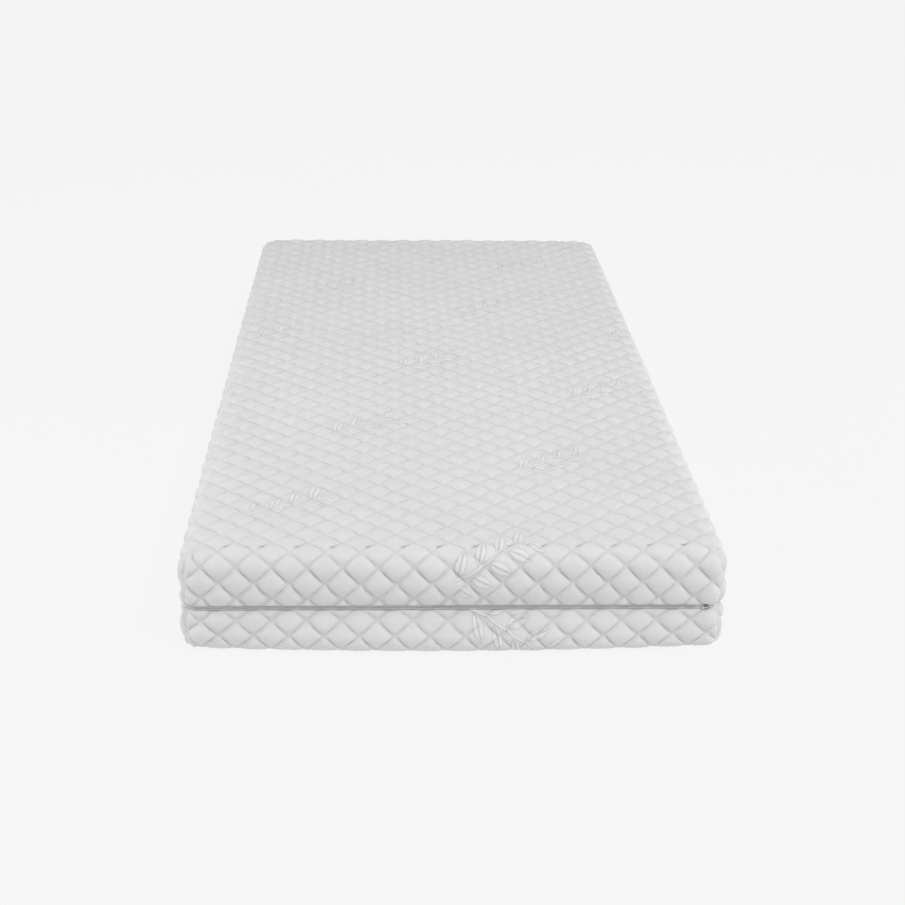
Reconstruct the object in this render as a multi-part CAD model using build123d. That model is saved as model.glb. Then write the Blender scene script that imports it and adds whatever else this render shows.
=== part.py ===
"""A zip-covered memory foam mattress, in millimetres.

The origin is the middle of the underside. X runs across the width, Y along the length and Z up.
The zip's slider is parked on the front end, which faces -Y, beside the right-hand corner, at +X.
"""

from build123d import *
import os

# The mattress in its cover
WIDTH = 900.0
LENGTH = 1900.0
HEIGHT = 180.0
CORNER_RADIUS = 28.0
TOP_ROLL = 26.0
BOTTOM_ROLL = 18.0

# The quilted cover's three layers, from the outside in
KNIT = 1.0
WADDING = 4.2
BACKING = 0.8
COVER = KNIT + WADDING + BACKING

# The foam in its stretch liner
FOAM_INSET = 10.0
LINER = 0.8
LINER_INSET = FOAM_INSET - LINER
LIFT_CLEARANCE = 0.3
MEMORY_FOAM = 50.0

# The zip that joins the two halves of the cover
ZIP_HEIGHT = 78.0
SLOT = 9.0
TAPE = 0.6
TAPE_REACH = 16.0
TAPE_GAP = 0.8
COIL_WIDTH = 3.0
COIL_DEPTH = 2.4
COIL_GAP = 0.1
TAPE_END_GAP = 1.0

# The slider, which runs along the front with its nose towards +X
SLIDER_LENGTH = 10.5
SLIDER_HEIGHT = 8.0
SLIDER_CORNER = 2.4
SLIDER_PLATE = 1.0
SLIDER_BACK_PLATE = 1.2
SLIDER_FLANGE = 0.7
SLIDER_CLEARANCE = 0.3
POST_RADIUS = 1.1
POST_FROM_NOSE = 1.7
SLIDER_TO_CORNER = 0.75

# The bridge on the slider and the pull ring that hangs from it
BRIDGE_LENGTH = 7.6
BRIDGE_WIDTH = 2.0
BRIDGE_LEG = 1.0
BRIDGE_BAR = 0.6
BRIDGE_ROOM = 1.6
RING_WIRE = 1.0
RING_LENGTH = 8.6
RING_WIDTH = 5.8
RING_CORNER = 2.4
RING_PIVOT_FROM_LEG = 0.8

# The metal stops at the ends of the tapes, and the sewn-in label
STOP_LENGTH = 1.8
STOP_HEIGHT = 2.4
STOP_DEPTH = 3.4
STOP_FROM_COIL = 1.2
LABEL_WIDTH = 60.0
LABEL_HEIGHT = 36.0
LABEL_THICKNESS = 0.3
LABEL_BELOW_TAPE = 0.5

# Worked out from the sizes above
FRONT = -LENGTH / 2
STRAIGHT_END = WIDTH / 2 - CORNER_RADIUS
SIDE_START = CORNER_RADIUS - LENGTH / 2
COIL_INSET = COVER - COIL_DEPTH
SLIDER_NOSE = STRAIGHT_END - SLIDER_TO_CORNER
SLIDER_X = SLIDER_NOSE - SLIDER_LENGTH / 2
POST_X = SLIDER_NOSE - POST_FROM_NOSE
COIL_END = POST_X - POST_RADIUS - 1.0
PLATE_BACK = COIL_INSET - SLIDER_CLEARANCE
PLATE_FACE = PLATE_BACK - SLIDER_PLATE
BACK_PLATE_FACE = COVER + TAPE + SLIDER_CLEARANCE
BRIDGE_START = SLIDER_X - BRIDGE_LENGTH / 2
PIVOT_X = BRIDGE_START + BRIDGE_LEG + RING_PIVOT_FROM_LEG
PIVOT_INSET = PLATE_FACE - BRIDGE_ROOM / 2
FAR = 2 * LENGTH


def outline(inset):
    """The mattress seen from above, drawn in by inset all round."""
    return RectangleRounded(WIDTH - 2 * inset, LENGTH - 2 * inset, CORNER_RADIUS - inset)


def soft_block(inset, low, high):
    """A block with rolled top and bottom edges, drawn in by inset and standing from low to high."""
    block = extrude(Pos(0, 0, low) * outline(inset), high - low)
    block = fillet(block.edges().group_by(Axis.Z)[-1], TOP_ROLL - inset)
    return fillet(block.edges().group_by(Axis.Z)[0], BOTTOM_ROLL - inset)


def hollow_layer(outer, inner):
    """A closed skin between two insets of the mattress."""
    return soft_block(outer, outer, HEIGHT - outer) - soft_block(inner, inner, HEIGHT - inner)


def above(height):
    """Everything higher than height, to cut with."""
    return Pos(0, 0, height + FAR / 2) * Box(FAR, FAR, FAR)


def below(height):
    """Everything lower than height, to cut with."""
    return Pos(0, 0, height - FAR / 2) * Box(FAR, FAR, FAR)


def cover_layers():
    """The knit, wadding and backing of each half of the cover, which part at the zip."""
    depths = {"knit": (0, KNIT), "wadding": (KNIT, KNIT + WADDING), "backing": (KNIT + WADDING, COVER)}
    layers = {}
    for name, (outer, inner) in depths.items():
        skin = hollow_layer(outer, inner)
        layers[f"upper_cover_{name}"] = skin & above(ZIP_HEIGHT + SLOT / 2)
        layers[f"lower_cover_{name}"] = skin & below(ZIP_HEIGHT - SLOT / 2)
    return layers


def foam_and_liner():
    """The two glued foams and the stretch liner that closes round them."""
    liner_low = COVER + LIFT_CLEARANCE
    liner_high = HEIGHT - liner_low
    foam = soft_block(FOAM_INSET, liner_low + LINER, liner_high - LINER)
    glue_line = liner_high - LINER - MEMORY_FOAM
    return {
        "inner_liner": soft_block(LINER_INSET, liner_low, liner_high) - foam,
        "memory_foam_layer": foam & above(glue_line),
        "support_foam_base": foam & below(glue_line),
    }


def band(outer, inner, low, high):
    """A band that follows the mattress's outline, between two insets and two heights."""
    return extrude(Pos(0, 0, low) * (outline(outer) - outline(inner)), high - low)


def box_between(low, high):
    """A block given by its lowest and highest corners."""
    size = Vector(high) - Vector(low)
    return Pos(Vector(low)) * Box(*size, align=(Align.MIN, Align.MIN, Align.MIN))


def tape_ends():
    """What the tapes leave open: the gap where their ends meet, and the room for the slider's post."""
    corner = Pos(STRAIGHT_END, SIDE_START, ZIP_HEIGHT) * Rot(0, 0, -45)
    gap = corner * Pos(CORNER_RADIUS, 0, 0) * Box(2 * CORNER_RADIUS, TAPE_END_GAP, 4 * TAPE_REACH)
    reach = POST_RADIUS + 1.5 * SLIDER_CLEARANCE
    room = Pos(POST_X, FRONT + COVER, ZIP_HEIGHT) * Box(2 * reach, 4 * COVER, 2 * reach)
    return gap, room


def zip_tapes():
    """The two woven tapes, sewn inside the cover's edges."""
    gap, room = tape_ends()
    inner = COVER + TAPE
    edge = TAPE_GAP / 2
    upper = band(COVER, inner, ZIP_HEIGHT + edge, ZIP_HEIGHT + TAPE_REACH)
    lower = band(COVER, inner, ZIP_HEIGHT - TAPE_REACH, ZIP_HEIGHT - edge)
    return {"upper_zip_tape": upper - gap - room, "lower_zip_tape": lower - gap - room}


def zip_coils():
    """The two rows of coil teeth, as plain strips that start and end beside the front right corner."""
    corner = box_between((COIL_END, FRONT - 1, 0), (WIDTH, SIDE_START + STOP_FROM_COIL + STOP_LENGTH, HEIGHT))
    edge = COIL_GAP / 2
    upper = band(COIL_INSET, COVER, ZIP_HEIGHT + edge, ZIP_HEIGHT + COIL_WIDTH)
    lower = band(COIL_INSET, COVER, ZIP_HEIGHT - COIL_WIDTH, ZIP_HEIGHT - edge)
    return {"upper_zip_coil": upper - corner, "lower_zip_coil": lower - corner}


def zip_stops(tapes):
    """A bent metal stop at each end of each tape, closed over the tape's inner edge."""
    middle = COVER + TAPE / 2
    front = Pos(SLIDER_NOSE + STOP_FROM_COIL + STOP_LENGTH / 2, FRONT + middle, 0)
    side = Pos(WIDTH / 2 - middle, SIDE_START + STOP_LENGTH / 2, 0)
    front_block = Box(STOP_LENGTH, STOP_DEPTH, STOP_HEIGHT)
    side_block = Box(STOP_DEPTH, STOP_LENGTH, STOP_HEIGHT)
    stops = {}
    for half, way in (("upper", 1), ("lower", -1)):
        level = Pos(0, 0, ZIP_HEIGHT + way * (SLIDER_CLEARANCE / 2 + STOP_HEIGHT / 2))
        tape = tapes[f"{half}_zip_tape"]
        pair = [front * level * front_block - tape, side * level * side_block - tape]
        stops[f"{half}_zip_stops"] = Compound(children=[solid for stop in pair for solid in stop.solids()])
    return stops


def slider_plate(inset, thickness):
    """One of the slider's two plates, with its outer face at inset from the front."""
    plan = Plane.XZ * Pos(SLIDER_X, ZIP_HEIGHT) * RectangleRounded(SLIDER_LENGTH, SLIDER_HEIGHT, SLIDER_CORNER)
    return Pos(0, FRONT + inset, 0) * extrude(plan, -thickness)


def slider_flange(way):
    """The lip along one long edge of the front plate, which steers the coil."""
    depth = COVER - SLIDER_CLEARANCE - PLATE_BACK
    height = ZIP_HEIGHT + way * (SLIDER_HEIGHT / 2 - SLIDER_FLANGE / 2)
    length = SLIDER_LENGTH - 2 * SLIDER_CORNER
    return Pos(SLIDER_X, FRONT + PLATE_BACK + depth / 2, height) * Box(length, depth, SLIDER_FLANGE)


def slider_bridge():
    """The arch on the front plate that the pull ring hangs from."""
    depth = BRIDGE_ROOM + BRIDGE_BAR
    centre = Pos(SLIDER_X, FRONT + PLATE_FACE - depth / 2, ZIP_HEIGHT)
    arch = centre * Box(BRIDGE_LENGTH, depth, BRIDGE_WIDTH)
    window = Box(BRIDGE_LENGTH - 2 * BRIDGE_LEG, BRIDGE_ROOM, 2 * BRIDGE_WIDTH)
    return arch - Pos(SLIDER_X, FRONT + PLATE_FACE - BRIDGE_ROOM / 2, ZIP_HEIGHT) * window


def slider_post():
    """The column that joins the plates at the nose and parts the two coils."""
    length = BACK_PLATE_FACE - PLATE_BACK
    middle = FRONT + (BACK_PLATE_FACE + PLATE_BACK) / 2
    return Pos(POST_X, middle, ZIP_HEIGHT) * Rot(90, 0, 0) * Cylinder(POST_RADIUS, length)


def zip_slider_body():
    """The cast slider: two plates on a post, two flanges and the bridge."""
    body = slider_plate(PLATE_FACE, SLIDER_PLATE) + slider_plate(BACK_PLATE_FACE, SLIDER_BACK_PLATE)
    return body + slider_post() + slider_flange(1) + slider_flange(-1) + slider_bridge()


def zip_pull_ring():
    """The wire ring on the bridge, lying flat towards the nose."""
    middle = PIVOT_X + RING_LENGTH / 2
    path = Plane.XZ * Pos(middle, ZIP_HEIGHT) * RectangleRounded(RING_LENGTH, RING_WIDTH, RING_CORNER)
    loop = path.face().outer_wire()
    ring = sweep(Plane(loop @ 0, z_dir=loop % 0) * Circle(RING_WIRE / 2), path=loop)
    return Pos(0, FRONT + PIVOT_INSET, 0) * ring


def care_label():
    """The blank label sewn inside the lower cover at the back, under the tape."""
    top = ZIP_HEIGHT - TAPE_REACH - LABEL_BELOW_TAPE
    back = LENGTH / 2 - COVER
    low = (-LABEL_WIDTH / 2, back - LABEL_THICKNESS, top - LABEL_HEIGHT)
    return box_between(low, (LABEL_WIDTH / 2, back, top))


def mattress():
    """Every piece of the mattress, by name."""
    tapes = zip_tapes()
    pieces = {**cover_layers(), **foam_and_liner(), **tapes, **zip_coils(), **zip_stops(tapes)}
    pieces["zip_slider_body"] = zip_slider_body()
    pieces["zip_pull_ring"] = zip_pull_ring()
    pieces["care_label"] = care_label()
    return pieces


os.makedirs("parts", exist_ok=True)
for name, piece in mattress().items():
    export_step(piece, f"parts/{name}.step")
    print(name, round(piece.volume, 1), "mm3")
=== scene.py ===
# %% [markdown]
# # A zip-covered memory foam mattress
# This lesson dresses a finished CAD frame of a single mattress in cloth and foam.
# The frame gives every place and size, so this script only makes the looks:
# a diamond-quilted knit cover in two halves, the zip between them, and the foam inside.
# Everything is in metres, with Z up, and the zip's slider is on the end that faces -Y.

import bmesh
import bpy
import numpy as np
from mathutils import Matrix, Vector


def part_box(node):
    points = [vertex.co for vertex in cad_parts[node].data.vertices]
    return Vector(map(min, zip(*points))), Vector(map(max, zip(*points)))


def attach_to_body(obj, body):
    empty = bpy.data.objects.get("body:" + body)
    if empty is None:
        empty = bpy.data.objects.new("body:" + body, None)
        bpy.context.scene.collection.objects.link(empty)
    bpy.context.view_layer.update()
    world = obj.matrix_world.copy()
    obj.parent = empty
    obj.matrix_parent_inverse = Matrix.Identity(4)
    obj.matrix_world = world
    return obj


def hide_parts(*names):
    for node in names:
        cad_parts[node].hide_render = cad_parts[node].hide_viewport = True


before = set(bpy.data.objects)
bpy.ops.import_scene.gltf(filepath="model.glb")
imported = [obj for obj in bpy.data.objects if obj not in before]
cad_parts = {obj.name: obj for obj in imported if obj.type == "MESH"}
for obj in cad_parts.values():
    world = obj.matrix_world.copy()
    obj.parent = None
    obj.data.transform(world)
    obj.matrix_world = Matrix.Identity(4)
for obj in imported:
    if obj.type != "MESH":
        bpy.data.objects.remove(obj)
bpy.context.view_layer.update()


# %% [markdown]
# ## Sizes from the frame
# The cover's outer box gives the mattress's width, length and height.
# The gap between the two halves of the cover gives the zip's height.
# Sizes that cloth has and the plain CAD shells do not, such as how soft an edge rolls,
# are chosen here once and named.

# %% Read the frame's boxes
upper_low, upper_high = (np.array(c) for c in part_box("upper_cover_knit"))
lower_high = np.array(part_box("lower_cover_knit")[1])
HALF_WIDTH = float(upper_high[0])
HALF_LENGTH = float(upper_high[1])
HEIGHT = float(upper_high[2])
ZIP_Z = float(upper_low[2] + lower_high[2]) / 2
print(f"mattress {2 * HALF_WIDTH:.3f} x {2 * HALF_LENGTH:.3f} x {HEIGHT:.3f} m, zip at {ZIP_Z:.3f} m")

# %% Choose the cloth's own sizes
PITCH_X = 0.0578
PITCH_Y = 0.0560
LOWER_PITCH_Y = 0.0480
PILLOW = 0.0070
SURFACE_INSET = 0.0035
CORNER = 0.028
SEED = 7

# %% [markdown]
# ## One swatch of quilt, puffed up by a cloth simulation
# The real cover is a sandwich: a stretch knit, fluffy wadding and a thin backing, stitched
# together along diagonal lines. Between the lines the wadding pushes the knit up into pillows.
# Blender's cloth solver gives that shape: the stitch lines are pinned, the cloth is cut
# slightly too large, and a pressure lifts it. One swatch of diamonds is enough, because
# the cover repeats them, and each diamond of the cover borrows one of the swatch's.

# %% Lay out the swatch
STEPS = np.array([0, 0.05, 0.14, 0.30, 0.50, 0.70, 0.86, 0.95, 1.0])
SWATCH = 7


def lattice_lines(first, last, steps):
    """Grid coordinates from one whole diamond line to another, close together near the stitches."""
    cells = [k + steps[:-1] for k in range(first, last)]
    return np.concatenate([*cells, [float(last)]])


def unfolded(a, b, pitch_y=PITCH_Y):
    """The place on the flat cloth of diamond coordinates a and b; both are whole numbers on stitch lines."""
    return (a - b) * PITCH_X / 2, (a + b) * pitch_y / 2


def grid_faces(rows, columns):
    """Quads of a grid whose points are stored row by row."""
    k = np.arange(rows * columns).reshape(rows, columns)
    return np.stack([k[:-1, :-1], k[1:, :-1], k[1:, 1:], k[:-1, 1:]], axis=-1).reshape(-1, 4)


# %% Simulate the swatch
PUFF_FRAMES = 20
PUFFED_CLOTH = {
    "quality": 6,
    "mass": 0.15,
    "use_pressure": True,
    "uniform_pressure_force": 200,
    "tension_stiffness": 40,
    "compression_stiffness": 5,
    "shear_stiffness": 5,
    "bending_stiffness": 0.5,
    "tension_damping": 8,
    "air_damping": 5,
    "shrink_min": -0.055,
    "vertex_group_mass": "stitches",
}
LUMP = 0.0004
ON_LINE = 1e-6


def simulate_swatch():
    """How far each point of the swatch moves when its wadding swells: (lines, lines, 3)."""
    lines = lattice_lines(0, SWATCH, STEPS)
    count = len(lines)
    a, b = np.meshgrid(lines, lines, indexing="ij")
    u, v = unfolded(a, b)
    stitched = (np.abs(a - np.round(a)) < ON_LINE) | (np.abs(b - np.round(b)) < ON_LINE)
    lumps = np.random.default_rng(SEED).normal(0, LUMP, a.shape) * ~stitched
    flat = np.stack([u, v, np.abs(lumps)], axis=-1).reshape(-1, 3)
    mesh = bpy.data.meshes.new("swatch")
    mesh.from_pydata(flat.tolist(), [], grid_faces(count, count).tolist())
    swatch = bpy.data.objects.new("swatch", mesh)
    bpy.context.collection.objects.link(swatch)
    stitches = swatch.vertex_groups.new(name="stitches")
    stitches.add(np.flatnonzero(stitched).tolist(), 1.0, "REPLACE")
    cloth = swatch.modifiers.new("puff", "CLOTH")
    for setting, value in PUFFED_CLOTH.items():
        setattr(cloth.settings, setting, value)
    cloth.settings.effector_weights.gravity = 0
    cloth.collision_settings.use_collision = False
    for number in range(1, PUFF_FRAMES + 1):
        bpy.context.scene.frame_set(number)
    puffed = swatch.evaluated_get(bpy.context.evaluated_depsgraph_get()).data
    moved = np.empty(len(flat) * 3, np.float32)
    puffed.vertices.foreach_get("co", moved)
    bpy.data.objects.remove(swatch)
    bpy.context.scene.frame_set(1)
    return (moved.reshape(-1, 3) - flat).reshape(count, count, 3)


SWATCH_PUFF = simulate_swatch()
SWATCH_RISE = SWATCH_PUFF[..., 2] * 1000
print(f"swatch pillows: highest {SWATCH_RISE.max():.1f} mm, mean {SWATCH_RISE.mean():.1f} mm")


# %% [markdown]
# ## Reading the swatch anywhere on the cover
# A point of the cover has diamond coordinates a and b. Their whole parts pick one of the
# swatch's diamonds, by a fixed shuffle, and their fractions say where in it the point lies.
# Every diamond is still at its stitches, so neighbours always join without a step.
# Thread pulls hardest where two lines cross, so the pillows' corners are rounded off there.
# The lines sewn first, one way across, lie a little slacker than the lines sewn over them.

# %% Look up the puff
OWN_SHARE = 0.30
PILLOW_SQUARE = 2.6
PILLOW_FLAT = 0.62
FULLEST = 1.3
PLUMP_SPREAD = 0.14
SLACK_WIDTH = 0.20
SLACK_ON_FACE = 0.0016
SLACK_ON_WALL = 0.0006


def ramp(value, start, end):
    """0 before start, 1 after end, and smooth between."""
    t = np.clip((value - start) / (end - start), 0, 1)
    return t * t * (3 - 2 * t)


def swatch_diamonds():
    """The swatch cut into its diamonds, each scaled to the pillow height: (diamonds, lines, lines, 3)."""
    n = len(STEPS) - 1
    cut = [
        SWATCH_PUFF[i * n : (i + 1) * n + 1, j * n : (j + 1) * n + 1]
        for i in range(SWATCH)
        for j in range(SWATCH)
    ]
    puffs = np.array(cut)
    typical = puffs.mean(axis=0)
    height = typical[..., 2]
    height = (height + height[::-1] + height[:, ::-1] + height[::-1, ::-1]) / 4
    typical = np.stack([typical[..., 0] * 0, typical[..., 1] * 0, height], axis=-1)
    puffs = typical + OWN_SHARE * (puffs - typical)
    middle = puffs[:, :, :, 2].max(axis=(1, 2)).mean()
    return puffs * PILLOW / middle


DIAMONDS = swatch_diamonds()


def puff_at(a, b):
    """The swatch's movement at diamond a, b (along u, along v, outwards), and the line's slack."""
    cell_a, cell_b = np.floor(a).astype(int), np.floor(b).astype(int)
    which = (cell_a * 17 + cell_b * 31 + (cell_a * cell_b) % 5) % len(DIAMONDS)
    n = len(STEPS) - 1
    row = np.interp(a - cell_a, STEPS, np.arange(n + 1))
    column = np.interp(b - cell_b, STEPS, np.arange(n + 1))
    r0, c0 = np.minimum(row.astype(int), n - 1), np.minimum(column.astype(int), n - 1)
    fr, fc = (row - r0)[:, None], (column - c0)[:, None]
    near = DIAMONDS[which, r0, c0] * (1 - fc) + DIAMONDS[which, r0, c0 + 1] * fc
    far = DIAMONDS[which, r0 + 1, c0] * (1 - fc) + DIAMONDS[which, r0 + 1, c0 + 1] * fc
    puff = near * (1 - fr) + far * fr
    across, down = np.abs(2 * (a - cell_a) - 1), np.abs(2 * (b - cell_b) - 1)
    to_corner = (across**PILLOW_SQUARE + down**PILLOW_SQUARE) ** (1 / PILLOW_SQUARE)
    full = np.clip(puff[:, 2] / PILLOW, 0, FULLEST) ** PILLOW_FLAT * PILLOW
    plumpness = 1 + PLUMP_SPREAD * np.sin(cell_a * 2.4 + cell_b * 4.1) * np.sin(cell_a * 5.3 - cell_b * 1.7)
    puff[:, 2] = full * plumpness * (1 - ramp(to_corner, 0.84, 1.14))
    slack = np.exp(-(((1 - down) / SLACK_WIDTH) ** 2)) * (1 - ramp(across, 0.55, 0.95))
    return puff, slack


# %% [markdown]
# ## Folding the flat quilt round the mattress
# Each half of the cover is one flat panel: the sleeping face or the underside, with four flaps
# that fold over the edge and hang down the sides. Where two flaps meet, a seam runs down the
# corner. So the quilt's lines run on over the edge unbroken, which a box with four glued-on
# strips could not show. A Half holds the numbers of one such panel.

# %% The fold
LIP_START = 0.0051
LIP_DROP = 0.0008
LIP_DEPTH = 0.0022
BARREL = 0.0020


class Half:
    """One half of the cover: a panel, a rolled edge, and a wall that ends in a lip at the zip."""

    def __init__(self, face_z, way, roll_out, roll_up, square, face_inset, pitch_y, phase):
        self.way = way
        self.panel_z = face_z - way * face_inset
        self.roll = roll_out
        self.flat_x = HALF_WIDTH - roll_out
        self.flat_y = HALF_LENGTH - roll_out
        self.pitch_y = pitch_y
        self.phase = phase
        self.path = self.wall_path(roll_out, roll_up - face_inset, square)
        steps = np.linalg.norm(np.diff(self.path, axis=0), axis=1)
        self.along = np.concatenate([[0], np.cumsum(steps)])
        self.reach = float(self.along[-1])
        lean = np.gradient(self.path, self.along, axis=0)
        lean[0] = (-1.0, 0.0)
        lean /= np.linalg.norm(lean, axis=1, keepdims=True)
        self.normal = np.stack([-way * lean[:, 1], -way * lean[:, 0]], axis=1)
        self.corner_run = roll_out - CORNER + CORNER * np.pi / 4

    def wall_path(self, roll_out, roll_up, square):
        """Points (inset, height) from the panel's edge, round the roll and along the wall to the lip."""
        way = self.way
        turn = np.linspace(0, np.pi / 2, 40)
        roll_inset = SURFACE_INSET + (roll_out - SURFACE_INSET) * (1 - np.sin(turn) ** (2 / square))
        roll_drop = roll_up * (1 - np.cos(turn) ** (2 / square))
        roll = np.stack([roll_inset, self.panel_z - way * roll_drop], axis=1)
        lip_start = ZIP_Z + way * LIP_START
        share = np.linspace(0, 1, 20)[1:]
        wall_z = roll[-1, 1] + (lip_start - roll[-1, 1]) * share
        wall = np.stack([SURFACE_INSET - BARREL * np.sin(np.pi * share), wall_z], axis=1)
        bend = np.linspace(0, np.pi / 2, 10)[1:]
        lip_inset = SURFACE_INSET + LIP_DEPTH * (1 - np.cos(bend))
        lip = np.stack([lip_inset, lip_start - way * LIP_DROP * np.sin(bend)], axis=1)
        return np.concatenate([roll, wall, lip])

    def profile(self, distance):
        """(inset, height, outward part and upward part of the normal) at a distance past the panel's edge."""
        inset = np.interp(distance, self.along, self.path[:, 0]) + np.maximum(-distance, 0)
        height = np.interp(distance, self.along, self.path[:, 1])
        out_part = np.interp(distance, self.along, self.normal[:, 0])
        up_part = np.interp(distance, self.along, self.normal[:, 1])
        return inset, height, out_part, up_part

    def plan(self, along, inset, flat, half_out):
        """Seen from above: (place along the flap, distance out, and the normal's two parts)."""
        share = np.clip((np.abs(along) - flat) / self.corner_run, 0, 1)
        radius = CORNER * np.clip(1 - np.maximum(inset, 0) / self.roll, 0, 1)
        straight = self.roll - np.clip(inset, 0, self.roll) - radius
        run = share * (straight + radius * np.pi / 4)
        angle = np.where(run > straight, (run - straight) / np.maximum(radius, 1e-6), 0)
        place = flat + np.minimum(run, straight) + radius * np.sin(angle)
        place = np.where(share > 0, np.sign(along) * place, along)
        out = half_out - inset - radius * (1 - np.cos(angle))
        return place, out, np.sign(along) * np.sin(angle), np.cos(angle)


# %% Fold the two halves
upper_half = Half(
    face_z=HEIGHT, way=1, roll_out=0.034, roll_up=0.029, square=2.0,
    face_inset=SURFACE_INSET, pitch_y=PITCH_Y, phase=(0.0192, 0.0240),
)
lower_half = Half(
    face_z=0.0, way=-1, roll_out=0.0285, roll_up=0.012, square=2.6,
    face_inset=0.0018, pitch_y=LOWER_PITCH_Y, phase=(-0.0126, 0.0125),
)
print(f"flap reach: upper {upper_half.reach:.3f} m, lower {lower_half.reach:.3f} m")

# %% [markdown]
# ## Cutting the diamonds to the panel and its flaps
# The mesh of each layer follows the diamonds, so every stitch line is a row of mesh edges and
# stays crisp. The grid is laid over each part of the panel and cut along the part's outline.

# %% Lay and cut the grid
SEAM_STEP = 0.00015
HEM_CUTS = (0.0008, 0.0017, 0.0027, 0.0045)
HEM_REACH = 0.02
SIDES = (-1, 1)
ENDS = ("front", "back")


def outline_of(half, part):
    """The rectangle of one part of the unfolded panel: (low u, high u, low v, high v)."""
    wide, deep = half.flat_x + half.corner_run, half.flat_y + half.corner_run
    far_x, far_y = half.flat_x + half.reach, half.flat_y + half.reach
    return {
        "face": (-half.flat_x, half.flat_x, -half.flat_y, half.flat_y),
        "front": (-wide, wide, -far_y, -half.flat_y),
        "back": (-wide, wide, half.flat_y, far_y),
        "left": (-far_x, -half.flat_x, -deep, deep),
        "right": (half.flat_x, far_x, -deep, deep),
    }[part]


# %% Give both flaps the same points along a seam
LINES_EACH_WAY = 90


def seam_places(half, steps):
    """Where either flap's grid meets each corner seam, as distances past the panel's edge."""
    places = {}
    lines = lattice_lines(-LINES_EACH_WAY, LINES_EACH_WAY, steps)
    for side_x in SIDES:
        for side_y in SIDES:
            edge_u = side_x * (half.flat_x + half.corner_run) - half.phase[0]
            edge_v = side_y * (half.flat_y + half.corner_run) - half.phase[1]
            share_u, share_v = edge_u / PITCH_X, edge_v / half.pitch_y
            ends_v = half.pitch_y * np.concatenate([lines - share_u, lines + share_u])
            sides_u = PITCH_X * np.concatenate([lines - share_v, share_v - lines])
            from_end = side_y * (ends_v + half.phase[1]) - half.flat_y
            from_side = side_x * (sides_u + half.phase[0]) - half.flat_x
            downs = np.concatenate([from_end, from_side, half.reach - np.array(HEM_CUTS)])
            downs = np.sort(downs[(downs > 0) & (downs < half.reach)])
            places[side_x, side_y] = downs[np.diff(downs, prepend=-1) > SEAM_STEP]
    return places


def share_seam_points(work, axis, edge_at, places):
    """Splits the edges that lie on a seam, so that the flaps on both sides have the same points."""
    other = 1 - axis
    seam = [e for e in work.edges if all(abs(v.co[axis] - edge_at) < 1e-5 for v in e.verts)]
    for edge in seam:
        start, end = edge.verts
        low, high = sorted((start.co[other], end.co[other]))
        inside = [p for p in places if low + SEAM_STEP < p < high - SEAM_STEP]
        inside.sort(key=lambda p: abs(p - start.co[other]))
        for place_at in inside:
            span = end.co[other] - start.co[other]
            edge, start = bmesh.utils.edge_split(edge, start, (place_at - start.co[other]) / span)
            edge = next(e for e in start.link_edges if e.other_vert(start) == end)


# %% Cut the grid to a part
def cut_quilt(half, box, steps, seams=(), hems=()):
    """The diamond grid inside a rectangle of flat cloth: points (n, 2) and faces."""
    low_u, high_u, low_v, high_v = box
    phase = half.phase
    corners_u = np.array([low_u, high_u, low_u, high_u]) - phase[0]
    corners_v = np.array([low_v, low_v, high_v, high_v]) - phase[1]
    a = corners_u / PITCH_X + corners_v / half.pitch_y
    b = corners_v / half.pitch_y - corners_u / PITCH_X
    lines_a = lattice_lines(int(np.floor(a.min())), int(np.ceil(a.max())), steps)
    lines_b = lattice_lines(int(np.floor(b.min())), int(np.ceil(b.max())), steps)
    u, v = unfolded(*np.meshgrid(lines_a, lines_b, indexing="ij"), half.pitch_y)
    u, v = (u + phase[0]).ravel(), (v + phase[1]).ravel()
    faces = grid_faces(len(lines_a), len(lines_b))
    fu, fv = u[faces], v[faces]
    near = (fu.max(1) > low_u) & (fu.min(1) < high_u) & (fv.max(1) > low_v) & (fv.min(1) < high_v)
    faces = faces[near]
    used, faces = np.unique(faces, return_inverse=True)
    sheet = bpy.data.meshes.new("cut")
    flat = np.stack([u[used], v[used], np.zeros(len(used))], axis=1)
    sheet.from_pydata(flat.tolist(), [], faces.reshape(-1, 4).tolist())
    work = bmesh.new()
    work.from_mesh(sheet)
    for point, normal in (
        ((low_u, 0, 0), (-1, 0, 0)),
        ((high_u, 0, 0), (1, 0, 0)),
        ((0, low_v, 0), (0, -1, 0)),
        ((0, high_v, 0), (0, 1, 0)),
    ):
        geometry = work.verts[:] + work.edges[:] + work.faces[:]
        plane = {"plane_co": point, "plane_no": normal, "clear_outer": True}
        bmesh.ops.bisect_plane(work, geom=geometry, dist=1e-5, **plane)
    for axis, hem_at in hems:
        at, normal = [0.0, 0.0, 0.0], [0.0, 0.0, 0.0]
        at[axis], normal[axis] = hem_at, 1.0
        near = [f for f in work.faces if abs(f.calc_center_median()[axis] - hem_at) < HEM_REACH]
        edges = {e for f in near for e in f.edges}
        verts = {v for e in edges for v in e.verts}
        geometry = [*verts, *edges, *near]
        bmesh.ops.bisect_plane(work, geom=geometry, dist=1e-4, plane_co=at, plane_no=normal)
    for axis, edge_at, places in seams:
        share_seam_points(work, axis, edge_at, places)
    work.verts.index_update()
    points = np.array([v.co[:2] for v in work.verts])
    cut = [[v.index for v in f.verts] for f in work.faces]
    work.free()
    bpy.data.meshes.remove(sheet)
    return points, cut


# %% Let the lines drift as a sewn quilt's do
DRIFT = 0.0009


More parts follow.
